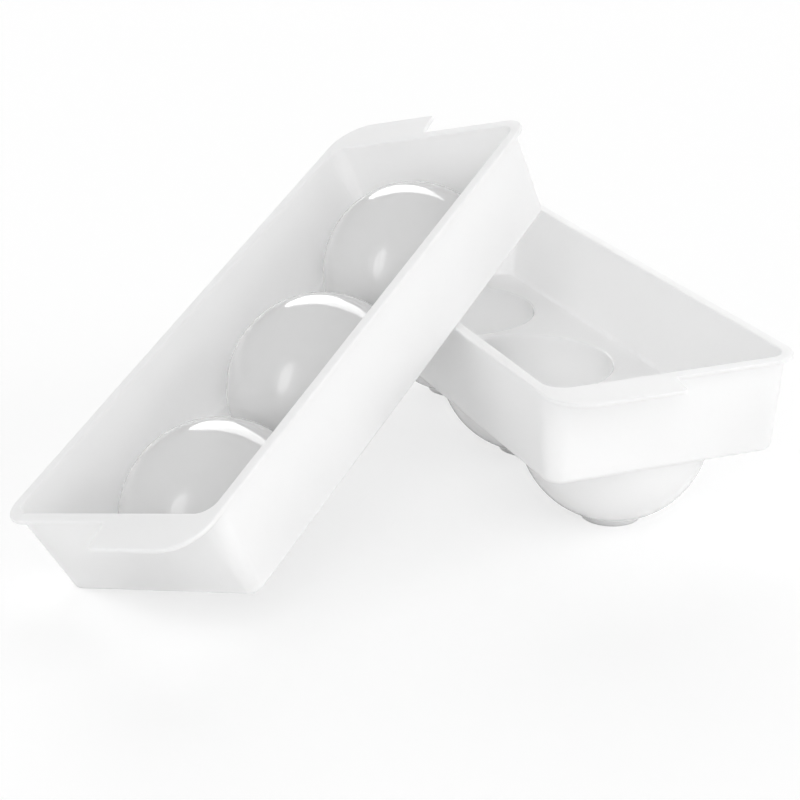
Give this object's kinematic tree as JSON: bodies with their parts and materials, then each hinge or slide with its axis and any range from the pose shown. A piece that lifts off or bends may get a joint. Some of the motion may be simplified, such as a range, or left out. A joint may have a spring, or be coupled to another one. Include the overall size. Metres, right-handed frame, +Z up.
{
  "type": "ice ball mold",
  "caption": "Tray mold for ice balls, open: a lower tray with round cups below its deck and a nesting upper tray with domes, each with a flat flange and half-width pull tabs.",
  "frame": {"origin": "on the table, under the middle cup of the lower tray", "axes": "+X along the lower tray's long side, +Y across it and away from the upper tray, +Z up"},
  "size_m": [0.2383, 0.2422, 0.1198],
  "materials": {
    "white_plastic": "smooth moulded, glossy"
  },
  "bodies": {
    "lower": {"lower_tray": "white_plastic"},
    "upper": {"upper_tray": "white_plastic"}
  },
  "joints": [
    {"name": "upper_tray_lift", "type": "slide", "parent": "lower", "child": "upper", "axis": [0, 0, 1], "range_m": [0, 0.1]}
  ]
}
